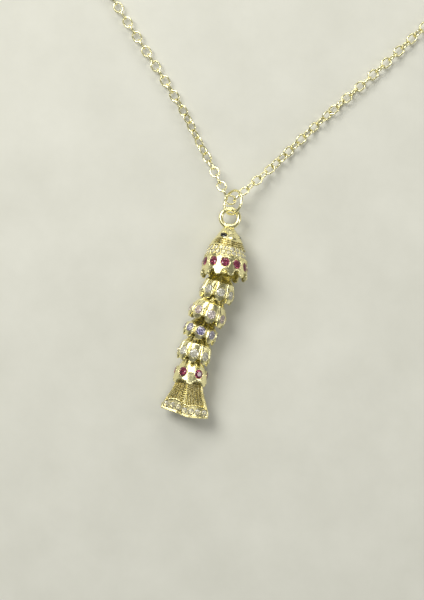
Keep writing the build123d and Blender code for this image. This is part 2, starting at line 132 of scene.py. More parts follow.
def tube(path, radius, sides=16, closed=False, start_up=(0.31, 0.2, 0.93)):
    """A round tube along a path of points, with flat caps unless it is closed on itself."""
    path = np.asarray(path, float)
    count = len(path)
    radius = np.broadcast_to(np.asarray(radius, float), (count,))
    if closed:
        way = np.roll(path, -1, 0) - np.roll(path, 1, 0)
    else:
        way = np.gradient(path, axis=0)
    way /= np.linalg.norm(way, axis=1)[:, None]
    side = np.cross(way[0], start_up)
    rings = []
    for i in range(count):
        side = side - way[i] * side.dot(way[i])
        side /= np.linalg.norm(side)
        other = np.cross(way[i], side)
        a = np.arange(sides) * 2 * pi / sides
        rings.append(path[i] + radius[i] * (np.cos(a)[:, None] * side + np.sin(a)[:, None] * other))
    points = np.concatenate(rings)
    faces = grid_faces(count, sides, round_rows=closed)
    if not closed:
        faces.append(tuple(range(sides))[::-1])
        faces.append(tuple(range(len(points) - sides, len(points))))
    return points, faces


def smoothstep(low, high, x):
    """0 below low, 1 above high, and a smooth rise between them."""
    t = np.clip((x - low) / (high - low), 0, 1)
    return t * t * (3 - 2 * t)


def ridge(offset, width, power=2):
    """1 at offset 0, falling smoothly to 0 over about this width."""
    return np.exp(-(offset / width) ** power)


def profile(points, blur=0.22):
    """A radius for every s from a few (s, r) points, with its corners rounded."""
    s, r = np.array(points, float).T
    grid = np.linspace(s[0] - 2, s[-1] + 2, 2400)
    value = np.interp(grid, s, r)
    slope_in, slope_out = (r[1] - r[0]) / (s[1] - s[0]), (r[-1] - r[-2]) / (s[-1] - s[-2])
    value = np.where(grid < s[0], r[0] + (grid - s[0]) * slope_in, value)
    value = np.where(grid > s[-1], r[-1] + (grid - s[-1]) * slope_out, value)
    width = int(blur / (grid[1] - grid[0])) * 2 + 1
    kernel = np.hanning(width + 2)[1:-1]
    value = np.convolve(np.pad(value, width // 2, mode="edge"), kernel / kernel.sum(), "valid")
    return lambda x: np.interp(x, grid, value)


class Casting:
    """Local frame of a casting: x to the right, y up and s towards the tail, from its pivot."""

    def __init__(self, pivot, way):
        self.pivot = np.asarray(pivot, float)
        self.way = np.asarray(way, float) / np.linalg.norm(way)
        self.right = np.cross((0, 0, 1.0), self.way)
        self.right /= np.linalg.norm(self.right)
        self.up = np.cross(self.way, self.right)

    def place(self, local):
        local = np.asarray(local, float)
        return (self.pivot + local[..., 0:1] * self.right + local[..., 1:2] * self.up
                + local[..., 2:3] * self.way)

    def polar(self, angle, s, r):
        """Points at an angle in radians from the top, towards the right."""
        return self.place(np.stack([r * np.sin(angle), r * np.cos(angle), s + 0 * r], -1))

    def spot(self, degrees, s, r, lean=0.0):
        """Origin and three axes on the side of the casting: x, y in the surface, z outwards."""
        a = radians(degrees)
        out = sin(a) * self.right + cos(a) * self.up
        across = cos(a) * self.right - sin(a) * self.up
        z = cos(lean) * out + sin(lean) * -self.way
        y = np.cross(z, across)
        return self.pivot + r * out + s * self.way, across, y, z


def put(spot, local):
    """Points given in a spot's own axes, placed on the casting."""
    origin, x, y, z = spot
    local = np.asarray(local, float)
    return origin + local[:, 0:1] * x + local[:, 1:2] * y + local[:, 2:3] * z


# ---------------------------------------------------------------- shells
def crowded(count, low, high, extra):
    """Fractions from 0 to 1 that lie closer together between low and high."""
    grid = np.linspace(0, 1, 500)
    run = np.cumsum(1 + extra * ((grid > low) & (grid < high)))
    return np.interp(np.linspace(run[0], run[-1], count), run, grid)


def shell(casting, outer, inner, edge, s_top, s_ceiling, columns, rows, lip=0.4, skew=None,
          dense=(0, 0, 0)):
    """A hollow casting: outside down to its scalloped edge, a rounded lip, and the inside.

    rows counts the rings of points on the outside, the lip and the inside. dense is the stretch
    of the outside where they lie closer together, and how much closer.
    """
    angle = np.arange(columns) * 2 * pi / columns
    last = edge(angle)
    out_rows, lip_rows, in_rows = rows
    levels = []
    for t in crowded(out_rows, *dense):
        s = s_top + (last - lip / 2 - s_top) * t
        if skew is not None:
            s = s + skew(s, angle)
        levels.append((s, outer(s, angle)))
    s_end = last - lip / 2
    r_out, r_in = outer(s_end, angle), inner(s_end, angle)
    for t in np.linspace(0, 1, lip_rows + 2)[1:-1]:
        swing = pi * t
        middle, half = (r_out + r_in) / 2, (r_out - r_in) / 2
        levels.append((s_end + lip / 2 * np.sin(swing), middle + half * np.cos(swing)))
    for t in np.linspace(1, 0, in_rows):
        s = s_ceiling + (s_end - s_ceiling) * t
        levels.append((s, inner(s, angle)))
    points = [casting.polar(angle, s, np.broadcast_to(r, angle.shape)) for s, r in levels]
    count = len(levels)
    faces = grid_faces(count, columns)
    points = np.concatenate(points)
    top, ceiling = len(points), len(points) + 1
    points = np.vstack([points, casting.place([0, 0, s_top]), casting.place([0, 0, s_ceiling])])
    for j in range(columns):
        k = (j + 1) % columns
        faces.append((top, k, j))
        base = (count - 1) * columns
        faces.append((ceiling, base + j, base + k))
    return points, faces


def petal(angle, phase, count):
    """-1..1 across each petal, 0 on its middle."""
    turn = (angle - radians(phase)) * count / (2 * pi)
    return 2 * (turn - np.round(turn))


def stone_distance(angle, s, phase, count, stone_s, r):
    """Distance along the surface to the nearest stone's middle."""
    across = petal(angle, phase, count) / 2 * (2 * pi / count) * r
    return np.hypot(across, s - stone_s)


def stone_bed(r, away, swell, reach, depth):
    """The surface round a stone: a slight swelling, and the hole that it sits in."""
    return r + swell * ridge(away, reach, 4) - depth * (1 - smoothstep(0.88, 0.98, away))


def arches(angle, phase, count, r, width, depth, tip, round_off=0.3):
    """Where the skirt's edge lies: round-tipped petals with arched notches between them."""
    q = np.abs(petal(angle, phase, count))
    away = (1 - q) * pi / count * r
    arch = np.sqrt(np.clip(1 - (away / (width / 2)) ** 2, 0, 1))
    lobe = pi / count * r - width / 2
    dome = np.sqrt(np.clip(1 - (q * pi / count * r / lobe) ** 2, 0, 1))
    return tip - round_off * (1 - dome) - depth * arch


# ---------------------------------------------------------------- stones and settings
def brilliant(radius, squash=(1.0, 1.0)):
    """A round cut stone with its table, star, kite and girdle facets and its pavilion."""
    table, top, star_t = 0.55 * radius, 0.28 * radius, 0.5
    belt, bottom, lower_t = 0.035 * radius, -0.84 * radius, 0.26
    eighth = pi / 4
    points = []
    for i in range(8):
        points.append((table * cos(i * eighth), table * sin(i * eighth), top))
    star_r = (radius - (radius - table) * star_t) / cos(eighth / 2)
    for i in range(8):
        a = (i + 0.5) * eighth
        points.append((star_r * cos(a), star_r * sin(a), belt + (top - belt) * star_t))
    for z in (belt, -belt):
        for i in range(16):
            points.append((radius * cos(i * pi / 8), radius * sin(i * pi / 8), z))
    low_r = radius * lower_t / cos(eighth / 2)
    for i in range(8):
        a = (i + 0.5) * eighth
        points.append((low_r * cos(a), low_r * sin(a), bottom + (-belt - bottom) * lower_t))
    points.append((0, 0, bottom))
    star, g, h, low, culet = 8, 16, 32, 48, 56
    faces = [tuple(range(8))]
    for i in range(8):
        n = (i + 1) % 8
        p = (i - 1) % 8
        faces.append((i, star + i, n))
        faces.append((i, star + p, g + 2 * i, star + i))
        faces.append((star + i, g + 2 * i, g + 2 * i + 1))
        faces.append((star + i, g + 2 * i + 1, g + (2 * i + 2) % 16))
        faces.append((culet, low + i, h + 2 * i, low + p))
        faces.append((low + i, h + 2 * i + 1, h + 2 * i))
        faces.append((low + i, h + (2 * i + 2) % 16, h + 2 * i + 1))
    for i in range(16):
        n = (i + 1) % 16
        faces.append((g + i, h + i, h + n, g + n))
    points = np.array(points) * (squash[0], squash[1], 1)
    return points, faces


def lathe(outline, sides, squash=(1.0, 1.0)):
    """A surface turned from (r, z) points, open at both ends of the outline."""
    a = np.arange(sides) * 2 * pi / sides
    rings = [np.stack([r * np.cos(a) * squash[0], r * np.sin(a) * squash[1], 0 * a + z], -1)
             for r, z in outline]
    return np.concatenate(rings), grid_faces(len(outline), sides)


def bezel(radius, rise=0.03, sides=40, squash=(1.0, 1.0), skirt=0.2):
    """The bright rim that holds a stone, with the seat under it. Its open ends are out of sight."""
    r = radius
    outline = [(r + skirt, -0.22), (r + skirt * 0.72, -0.02), (r + skirt * 0.45, rise * 0.9),
               (r + skirt * 0.22, rise + 0.015), (r + 0.03, rise), (r - 0.035, rise - 0.05),
               (r - 0.01, -0.06), (r * 0.55, -0.5 * r), (0.04, -0.92 * r)]
    return lathe(outline, sides, squash)


def stones_and_seats(spots, radius, squash=(1.0, 1.0), skirt=0.2, rise=0.03, turn=0.4):
    """The stones at these spots, and their settings."""
    stones, seats = [], []
    points, faces = brilliant(radius * 0.985, squash)
    seat_points, seat_faces = bezel(radius, rise, squash=squash, skirt=skirt)
    for number, spot in enumerate(spots):
        a = turn * number
        spun = points @ np.array([[cos(a), sin(a), 0], [-sin(a), cos(a), 0], [0, 0, 1]])
        local = spun if squash == (1.0, 1.0) else points
        stones.append((put(spot, local), faces))
        seats.append((put(spot, seat_points), seat_faces))
    return joined(stones), joined(seats)


def bead(radius, rings=5, sides=10):
    """A small raised grain of metal between pave stones, open where it is sunk in the casting."""
    outline = [(radius * cos(t), radius * sin(t)) for t in np.linspace(-0.9, pi / 2 - 0.05, rings)]
    points, faces = lathe(outline, sides)
    points = np.vstack([points, (0, 0, radius)])
    base = (rings - 1) * sides
    faces += [(base + j, base + (j + 1) % sides, len(points) - 1) for j in range(sides)]
    return points, faces


# ---------------------------------------------------------------- materials
def material(name):
    """An empty node material with its shader and a helper that adds nodes."""
    made = bpy.data.materials.new(name)
    made.use_nodes = True
    tree = made.node_tree
    shader = tree.nodes["Principled BSDF"]

    def add(kind, inputs=None, **settings):
        node = tree.nodes.new(kind)
        for key, value in settings.items():
            setattr(node, key, value)
        for key, value in (inputs or {}).items():
            if isinstance(value, bpy.types.NodeSocket):
                tree.links.new(value, node.inputs[key])
            else:
                node.inputs[key].default_value = value
        return node

    def link(socket, key):
        tree.links.new(socket, shader.inputs[key])

    return made, shader, add, link


def ramp(add, fac, stops):
    """A colour ramp node with (position, colour) stops."""
    node = add("ShaderNodeValToRGB", {"Fac": fac})
    elements = node.color_ramp.elements
    while len(elements) < len(stops):
        elements.new(0.5)
    for element, (position, colour) in zip(elements, stops):
        element.position = position
        element.color = (*colour, 1)
    return node


def gold(name, light, shade_and_tone_colour, rough, scratch=0.08, edges=0.0, scale=900.0):
    """Polished gold plate: soft random patches of tone, painted shade in the hollows and fine polishing
    marks.

    edges is the radius in metres that sharp edges are shaded with. The other distances in the
    nodes are in metres too.
    """
    made, shader, add, link = material(name)
    where = add("ShaderNodeTexCoord").outputs["Object"]
    patch = add("ShaderNodeTexNoise", {"Vector": where, "Scale": scale, "Detail": 4.0, "Roughness": 0.55})
    # an ambient occlusion node finds the hollows, and the ramp after it paints shade into them
    crevice = add("ShaderNodeAmbientOcclusion", {"Distance": 0.0011}, samples=6, only_local=True)
    painted_shade = ramp(add, crevice.outputs["AO"],
                ((0.30, (0.0, 0.0, 0.0)), (0.72, (0.85, 0.85, 0.85)), (0.95, (1, 1, 1))))
    tint = ramp(add, patch.outputs["Fac"], ((0.3, (0.93, 0.93, 0.93)), (0.7, (1, 1, 1))))
    # painted shade in the hollows times the random tone patches
    shade_and_tone = add("ShaderNodeMath", {0: painted_shade.outputs["Color"], 1: tint.outputs["Color"]},
                 operation="MULTIPLY")
    # the dark end of this mix is the painted shade colour of the hollows, which the random patches also
    # lean to a little
    colour = add("ShaderNodeMix", data_type="RGBA")
    colour.inputs[6].default_value = (*shade_and_tone_colour, 1)
    colour.inputs[7].default_value = (*light, 1)
    made.node_tree.links.new(shade_and_tone.outputs[0], colour.inputs[0])
    link(colour.outputs[2], "Base Color")
    shader.inputs["Metallic"].default_value = 1.0
    shader.inputs["Specular IOR Level"].default_value = 0.5
    grain = add("ShaderNodeTexNoise", {"Vector": where, "Scale": scale * 2.3, "Detail": 3.0})
    spread = add("ShaderNodeMapRange", {"Value": grain.outputs["Fac"], "From Min": 0.3, "From Max": 0.7,
                                        "To Min": rough[0], "To Max": rough[1]})
    link(spread.outputs["Result"], "Roughness")
    stretch = add("ShaderNodeMapping", {"Vector": where, "Scale": (1.0, 0.18, 1.0)})
    marks = add("ShaderNodeTexNoise", {"Vector": stretch.outputs["Vector"], "Scale": scale * 7,
                                       "Detail": 2.0})
    dents = add("ShaderNodeMix", {0: 0.35}, data_type="FLOAT")
    made.node_tree.links.new(marks.outputs["Fac"], dents.inputs[2])
    made.node_tree.links.new(patch.outputs["Fac"], dents.inputs[3])
    bump = add("ShaderNodeBump", {"Height": dents.outputs[0], "Strength": scratch, "Distance": 0.0001})
    if edges:
        rounded = add("ShaderNodeBevel", {"Radius": edges}, samples=6)
        made.node_tree.links.new(rounded.outputs["Normal"], bump.inputs["Normal"])
    link(bump.outputs["Normal"], "Normal")
    return made


def gem(name, deep, pale, clear, ior=1.95, rough=0.02, scale=450.0):
    """A faceted paste stone, whose colour drifts a little from stone to stone."""
    made, shader, add, link = material(name)
    where = add("ShaderNodeTexCoord").outputs["Object"]
    drift = add("ShaderNodeTexNoise", {"Vector": where, "Scale": scale, "Detail": 1.0})
    colour = ramp(add, drift.outputs["Fac"], ((0.35, deep), (0.65, pale)))
    link(colour.outputs["Color"], "Base Color")
    dust = add("ShaderNodeTexNoise", {"Vector": where, "Scale": scale * 9, "Detail": 3.0})
    polish = add("ShaderNodeMapRange", {"Value": dust.outputs["Fac"], "From Min": 0.35, "From Max": 0.8,
                                        "To Min": rough, "To Max": rough + 0.08})
    link(polish.outputs["Result"], "Roughness")
    shader.inputs["Transmission Weight"].default_value = clear
    shader.inputs["IOR"].default_value = ior
    return made


def steel(name):
    """Dull spring steel with a fine grain."""
    made, shader, add, link = material(name)
    where = add("ShaderNodeTexCoord").outputs["Object"]
    grain = add("ShaderNodeTexNoise", {"Vector": where, "Scale": 2500.0, "Detail": 4.0})
    colour = ramp(add, grain.outputs["Fac"], ((0.3, (0.36, 0.35, 0.33)), (0.7, (0.60, 0.58, 0.55))))
    link(colour.outputs["Color"], "Base Color")
    shader.inputs["Metallic"].default_value = 1.0
    spread = add("ShaderNodeMapRange", {"Value": grain.outputs["Fac"], "To Min": 0.22, "To Max": 0.42})
    link(spread.outputs["Result"], "Roughness")
    return made


# each gold's second colour is the painted shade in its hollows, also reached a little by its random darker
# patches
CAST_GOLD = gold("cast_gold", (0.97, 0.90, 0.51), (0.34, 0.27, 0.08), rough=(0.21, 0.32))
CHAIN_GOLD = gold("chain_gold", (0.99, 0.93, 0.56), (0.60, 0.53, 0.26), rough=(0.20, 0.25),
                  scratch=0.02)
FITTING_GOLD = gold("fitting_gold", (0.99, 0.93, 0.56), (0.60, 0.53, 0.26), rough=(0.20, 0.25),
                    scratch=0.02, edges=0.00025)
STEEL = steel("spring_steel")
RUBY = gem("ruby_stone", (0.34, 0.045, 0.115), (0.55, 0.12, 0.20), 0.75, ior=1.76)
WHITE = gem("white_stone", (0.97, 0.94, 0.80), (1.0, 0.98, 0.87), 0.70)
PINK = gem("pink_stone", (0.93, 0.76, 0.74), (1.0, 0.91, 0.86), 0.74)
VIOLET = gem("violet_stone", (0.46, 0.43, 0.66), (0.82, 0.78, 0.86), 0.74)
BLACK = gem("black_stone", (0.004, 0.004, 0.004), (0.02, 0.018, 0.015), 0.0, ior=1.6, rough=0.06)


# ---------------------------------------------------------------- places read from the frame
joints = {joint["name"]: joint for joint in frame["joints"]}


def joint_place(name):
    return np.array(joints[name]["pos_m"]) / MM


def middle_of(node):
    low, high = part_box(node)
    return np.array((low + high) / 2) / MM


# ---------------------------------------------------------------- head
HEAD_BASE = profile(((2.0, 0.95), (2.4, 1.35), (3.5, 2.05), (5.1, 3.08), (6.6, 3.75),
                     (9.0, 4.42), (HEAD_TIP_S, 4.68)), 0.3)
HEAD_HOLLOW = profile(((6.0, 1.0), (6.3, 1.7), (8.0, 2.75), (9.6, 3.3), (10.3, 3.45), (11.0, 4.02),
                       (HEAD_TIP_S, 4.36)))
RUBY_STEP = 360 / HEAD_STONES
RUBY_AXIS_R = float(HEAD_BASE(HEAD_STONE_S)) - SINK


def head_edge(angle):
    """Where the head's skirt ends: an arch between each ruby and the next."""
    return arches(angle, RUBY_STEP / 2, HEAD_STONES, r=4.7, width=1.45, depth=0.85, tip=HEAD_TIP_S,
                  round_off=0.3)


def head_skew(s, angle):
    """How far the head's rows slant, which fades out towards its nose and its edge."""
    return HEAD_SLANT * np.sin(angle) * smoothstep(4.2, 6.0, s) * (1 - smoothstep(10.6, 11.9, s))


def slant(degrees):
    """How far a stone at this angle lies below its row's middle."""
    return HEAD_SLANT * sin(radians(degrees))


def gills(r, row, side):
    """Raised gill lines with a groove behind each, which fade out down the fish's sides."""
    fade = 1 - smoothstep(1.25, 1.7, side)
    crest = 4.72 + 0.42 * np.clip(1 - side / 1.1, 0, 1)
    for gill in range(GILLS):
        gap = row - crest - GILL_PITCH * gill
        r = r + fade * (0.11 * ridge(gap, 0.13) - 0.24 * ridge(gap - 0.22, 0.10))
    return r


def pave_band(r, row):
    """The sunken band between two raised lines, with a groove below the lower one."""
    r = r - 0.2 * smoothstep(BAND_TOP, BAND_TOP + 0.08, row) * (
        1 - smoothstep(BAND_END - 0.08, BAND_END, row))
    r = r + 0.10 * ridge(row - BAND_TOP + 0.06, 0.09)
    r = r + 0.13 * ridge(row - BAND_END - 0.1, 0.12)
    return r - 0.08 * ridge(row - BAND_END - 0.34, 0.08)


def eye_sockets(r, angle, s):
    """A raised oval rim round each of the fish's eyes, with a hole in it."""
    for eye in (-1, 1):
        off = (angle - radians(HEAD_ROLL) - eye * radians(FISH_EYE_ANGLE) + pi) % (2 * pi) - pi
        x, y = off * 2.3, s - FISH_EYE_S
        a = eye * radians(FISH_EYE_TILT)
        x, y = x * cos(a) - y * sin(a), x * sin(a) + y * cos(a)
        reach = np.hypot(x / 1.0, y / 0.8)
        r = r + 0.13 * (1 - smoothstep(0.85, 1.1, reach)) - 0.6 * (1 - smoothstep(0.72, 0.8, reach))
    return r


def head_surface(s, angle):
    """Radius of the head's outside, with everything that is cast on it."""
    turn = (angle - radians(HEAD_ROLL) + pi) % (2 * pi) - pi
    side = np.abs(turn)
    face = smoothstep(2.1, 3.0, s) * (1 - smoothstep(4.4, 5.0, s))
    r = HEAD_BASE(s) + face * (0.17 * ridge(turn, 0.38) - 0.12 * ridge(side - 1.5, 0.5))
    row = s - HEAD_SLANT * np.sin(angle)
    r = pave_band(gills(r, row, side), row)
    away = stone_distance(angle, row, 0, HEAD_STONES, HEAD_STONE_S, RUBY_AXIS_R)
    r = eye_sockets(stone_bed(r, away, 0.05, 1.35, 0.95), angle, s)
    return r + 0.05 * ridge(s - head_edge(angle) + 0.3, 0.13)


def pave_and_grains(casting):
    """Places of the head's pave stones, and of the metal grains between them."""
    pave, grains = [], []
    for s, count, phase in PAVE_ROWS:
        r = float(HEAD_BASE(s)) - 0.15
        for i in range(count):
            a = phase + 360 / count * i
            pave.append(casting.spot(a, s + slant(a), r, 0.3))
            b = a + 180 / count
            for side in (-0.42, 0.42):
                at = s + side
                grains.append(casting.spot(b, at + slant(b), float(HEAD_BASE(at)) - 0.16, 0.3))
    return pave, grains


def fish_eye_spots(casting):
    """Places of the two oval eyes, turned in their own surface."""
    eyes = []
    for side in (-1, 1):
        at = HEAD_ROLL + side * FISH_EYE_ANGLE
        origin, x, y, z = casting.spot(at, FISH_EYE_S, float(HEAD_BASE(FISH_EYE_S)) + 0.06, 0.5)
        a = side * radians(FISH_EYE_TILT)
        eyes.append((origin, cos(a) * x + sin(a) * y, cos(a) * y - sin(a) * x, z))
    return eyes


def bail_ring(casting):
    """The ring at the nose, a little thicker where it grows out of the head."""
    turn = np.linspace(0, 2 * pi, 96, endpoint=False)
    loop_r = (BAIL_D - BAIL_WIRE) / 2
    path = casting.place(np.stack([loop_r * np.sin(turn), 0 * turn, loop_r * np.cos(turn)], -1))
    thick = BAIL_WIRE / 2 + 0.12 * np.exp(-((turn + pi) % (2 * pi) - pi) ** 2 / 0.25)
    return tube(path, thick, 24, closed=True, start_up=tuple(casting.up))


def build_head():
    bail = joint_place("head_swivel")
    casting = Casting(bail, middle_of("head_crossbar") - bail)
    casting_mesh = shell(casting, head_surface, lambda s, a: HEAD_HOLLOW(s) + 0 * a, head_edge,
                         s_top=2.0, s_ceiling=6.0, columns=400, rows=(190, 8, 34),
                         skew=head_skew, dense=(0.22, 0.66, 1.2))
    rubies = [casting.spot(RUBY_STEP * i, HEAD_STONE_S + slant(RUBY_STEP * i), RUBY_AXIS_R, STONE_LEAN)
              for i in range(HEAD_STONES)]
    gems, seats = stones_and_seats(rubies, STONE_R)
    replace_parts(mesh_piece("head_rubies", *gems, "head", "ruby_stone", RUBY, False), "head_ruby_stones")

    pave, grains = pave_and_grains(casting)
    small, small_seats = stones_and_seats(pave, PAVE_R, skirt=0.08, rise=0.0)
    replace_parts(mesh_piece("head_pave", *small, "head", "white_stone", WHITE, False), "head_pave_stones")
    drop = bead(0.15)
    beads = joined([(put(spot, drop[0]), drop[1]) for spot in grains])

    black, sockets = stones_and_seats(fish_eye_spots(casting), FISH_EYE_R, squash=FISH_EYE_SHAPE,
                                      skirt=0.2, rise=0.07)
    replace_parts(mesh_piece("fish_eyes", *black, "head", "black_stone", BLACK, False), "eye_stones")

    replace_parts(mesh_piece("head_casting", *casting_mesh, "head", "cast_gold", CAST_GOLD), "head_shell")
    mesh_piece("head_settings", *joined([seats, small_seats, sockets]), "head", "cast_gold", CAST_GOLD)
    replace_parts(mesh_piece("bail", *bail_ring(casting), "head", "cast_gold", CAST_GOLD), "bail_ring")
    mesh_piece("head_beads", *beads, "head", "cast_gold", CAST_GOLD)


# ---------------------------------------------------------------- segments
def build_segment(number, skirt_r, phase, paint, slot_name):
    """One hollow segment whose petals are tucked in at their tips, with a stone on each."""
    name = f"segment_{number}"
    pivot = joint_place(f"{name}_bend")
    way = middle_of(f"{name}_crossbar") - pivot
    bar_s = float(np.linalg.norm(way))
    casting = Casting(pivot, way)
    stone_s, tip = bar_s + STONE_PAST_BAR, bar_s + TIP_PAST_BAR
    base = profile(((1.0, 1.0), (1.25, 1.85), (2.0, 2.15), (2.4, 2.4), (2.95, 2.95),
                    (stone_s - 0.6, skirt_r - 0.2), (stone_s, skirt_r - 0.06),
                    (stone_s + 0.8, skirt_r - 0.08), (tip, skirt_r - 0.33)), 0.3)
    hollow = profile(((2.2, 0.6), (2.4, 1.25), (stone_s - 1.0, skirt_r - 1.35),
                      (stone_s, skirt_r - 1.15), (stone_s + 0.9, skirt_r - 0.8),
                      (tip, skirt_r - 0.68)))
    stone_r = skirt_r - 0.1 - SINK

    def edge(angle):
        return arches(angle, phase, PETALS, r=skirt_r, width=1.15, depth=0.42, tip=tip + 0.12,
                      round_off=0.50)

    def outer(s, angle):
        q = np.abs(petal(angle, phase, PETALS))
        grow = smoothstep(1.8, stone_s - 0.3, s)
        groove = 0.14 * smoothstep(1.6, 3.0, s) * ridge(1 - q, 0.07)
        r = base(s) - grow * 0.26 * q ** 3.5 - groove
        away = stone_distance(angle, s, phase, PETALS, stone_s, stone_r)
        return stone_bed(r, away, 0.04, 1.25, 0.95)

    points, faces = shell(casting, outer, lambda s, a: hollow(s) + 0 * a, edge,
                          s_top=1.0, s_ceiling=2.2, columns=384, rows=(120, 8, 40))
    spots = [casting.spot(phase + 360 / PETALS * i, stone_s, stone_r, STONE_LEAN)
             for i in range(PETALS)]
    gems, seats = stones_and_seats(spots, STONE_R)
    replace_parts(mesh_piece(f"{name}_gems", *gems, name, slot_name, paint, False), f"{name}_stones")
    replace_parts(mesh_piece(f"{name}_casting", *joined([(points, faces), seats]), name,
                           "cast_gold", CAST_GOLD), f"{name}_shell")


# ---------------------------------------------------------------- tail
FAN_UPPER = profile(((-1.0, 10.6), (-0.8, 9.75), (-0.45, 9.7), (-0.15, 10.2), (0.08, 10.7),
                     (0.45, 10.4), (0.75, 10.4), (1.0, 10.9)), 0.12)
FAN_LOWER = profile(((-1.0, 11.8), (-0.7, 12.05), (-0.3, 12.35), (0.1, 12.8), (0.35, 12.8),
                     (0.65, 12.65), (1.0, 12.4)), 0.12)
FAN_ROOT_S = 5.0
FAN_RIBS = 12
FAN_CREASE = -0.2                   # where the fold runs, from -1 at the left flank to 1 at the right
FAN_STONES = 7
FAN_STONE_R = 0.60
FAN_COLUMNS = 480
FAN_ROWS = 130
FAN_END_STEPS = (0.97, 0.93, 0.88, 0.82, 0.76, 0.70, 0.64, 0.5, 0.25)   # the recessed end


def fan_wave(across, open_up):
    """How far the fan's middle surface bends out of its plane."""
    return 0.55 * open_up * np.sin(2.4 * (across + 0.25))


def fan_crease(across, open_up):
    """Depth of the fold that runs down both faces of the fan."""
    return 0.30 * open_up * ridge(across - FAN_CREASE, 0.07)


def fan_half(open_up):
    """Half the fan's width."""
    return 2.75 + 2.1 * open_up ** 1.15


def fan_opening(s):
    """0 where the fan leaves the collar, and about 1 at its rim."""
    return smoothstep(5.4, 12.4, s)


def fan_face(open_up):
    """Half the fan's thickness."""
    return 1.55 - 0.25 * open_up


def fan_relief(w, s, upper, lower, open_up):
    """Height of the ribs, the knotted fold, the sunken stone band and the rims beside it."""
    ribs = (0.5 + 0.5 * np.cos(2 * pi * FAN_RIBS * (w + 1) / 2)) ** 3
    fold = ridge(w - FAN_CREASE, 0.085, 4)
    knots = np.cos(pi * (s / 0.42 + w / 0.085)) * np.cos(pi * (s / 0.42 - w / 0.085))
    ribs = ribs * (1 - fold) + fold * (0.4 + 0.3 * knots)
    on_ribs = (smoothstep(5.6, 6.4, s) * (1 - smoothstep(-0.22, -0.05, s - upper))
               * smoothstep(0.99, 0.93, np.abs(w)))
    band = (smoothstep(0.10, 0.22, s - upper) * smoothstep(0.12, 0.24, lower - s)
            * smoothstep(1.0, 0.94, np.abs(w)))
    rims = ridge(s - upper, 0.12) + ridge(s - lower + 0.1, 0.10)
    return (0.46 * ribs * on_ribs - 0.34 * on_ribs - 0.24 * band + 0.10 * rims
            - fan_crease(w, open_up))


def fan_ring(casting, t, proud):
    """One ring of the fan, from its root (t = 0) to its rim (t = 1), shrunk by proud at its end."""
    beta = np.arange(FAN_COLUMNS) * 2 * pi / FAN_COLUMNS
    w, face_side = np.cos(beta), np.sin(beta)
    lower, upper = FAN_LOWER(w), FAN_UPPER(w)
    s = FAN_ROOT_S + (lower - FAN_ROOT_S) * t
    open_up = fan_opening(s)
    thick = fan_face(open_up) * np.sign(face_side) * np.abs(face_side) ** 0.45
    wave = fan_wave(w, open_up)
    relief = fan_relief(w, s, upper, lower, open_up)
    y = thick + wave + np.sign(face_side) * relief * np.abs(face_side) ** 0.3
    y = wave + (y - wave) * proud
    sunk = 0.08 * smoothstep(1.0, 0.9, proud) - 1.1 * smoothstep(0.82, 0.62, proud)
    return casting.place(np.stack([fan_half(open_up) * w * (1 - 0.02 * (1 - proud)), y, s + sunk], -1))


def fan_mesh(casting):
    """The fan as rings from its root to its rim and in over its recessed end."""
    levels = [fan_ring(casting, t, 1.0) for t in np.linspace(0, 1, FAN_ROWS)]
    levels += [fan_ring(casting, 1.0, proud) for proud in FAN_END_STEPS]
    points = np.concatenate(levels)
    faces = grid_faces(len(levels), FAN_COLUMNS)
    top = len(points)
    points = np.vstack([points, casting.place([0.0, 0.0, FAN_ROOT_S])])
    faces += [(top, (j + 1) % FAN_COLUMNS, j) for j in range(FAN_COLUMNS)]
    last, end = (len(levels) - 1) * FAN_COLUMNS, len(points) - 2
    faces += [(last + j, last + (j + 1) % FAN_COLUMNS, end - (j + 1) % FAN_COLUMNS, end - j)
              for j in range(FAN_COLUMNS // 2 - 1)]
    return points, faces


def fan_stone_spots(casting):
    """Places of the stones in the band along the fan's rim, on both its faces."""
    rim = []
    for side in (-1, 1):
        for at in np.linspace(-0.82, 0.82, FAN_STONES):
            s = float(FAN_UPPER(at) + FAN_LOWER(at)) / 2
            open_up = float(fan_opening(s))
            edge_in = (1 - at ** 2) ** 0.225
            proud = fan_face(open_up) * edge_in - 0.16 - fan_crease(at, open_up)
            y = fan_wave(at, open_up) + side * proud
            z = casting.up * side
            rim.append((casting.place([fan_half(open_up) * at, y, s]), casting.right,
                        np.cross(z, casting.right), z))
    return rim


def tail_collar(casting):
    """The tail's hollow collar, and the places of its rubies."""
    base = profile(((1.0, 1.0), (1.25, 1.85), (2.0, 2.12), (2.75, 2.5), (TAIL_STONE_S, TAIL_R - 0.12),
                    (TAIL_COLLAR_S, TAIL_R + 0.05)), 0.3)
    hollow = profile(((4.6, 1.6), (4.9, 2.2), (TAIL_COLLAR_S, 2.95)))
    stone_r = TAIL_R - 0.12 - SINK

    def edge(angle):
        return arches(angle, 0.0, TAIL_PETALS, r=TAIL_R, width=2.3, depth=0.55,
                      tip=TAIL_COLLAR_S + 0.05, round_off=0.15)

    def outer(s, angle):
        away = stone_distance(angle, s, TAIL_PHASE, TAIL_PETALS, TAIL_STONE_S, stone_r)
        r = stone_bed(base(s), away, 0.04, 1.25, 0.9)
        return r + 0.08 * ridge(s - edge(angle) + 0.25, 0.12)

    collar = shell(casting, outer, lambda s, a: hollow(s) + 0 * a, edge,
                   s_top=1.0, s_ceiling=4.6, columns=360, rows=(110, 8, 24))
    spots = [casting.spot(TAIL_PHASE + 360 / TAIL_PETALS * i, TAIL_STONE_S, stone_r, STONE_LEAN)
             for i in range(TAIL_PETALS)]
    return collar, spots


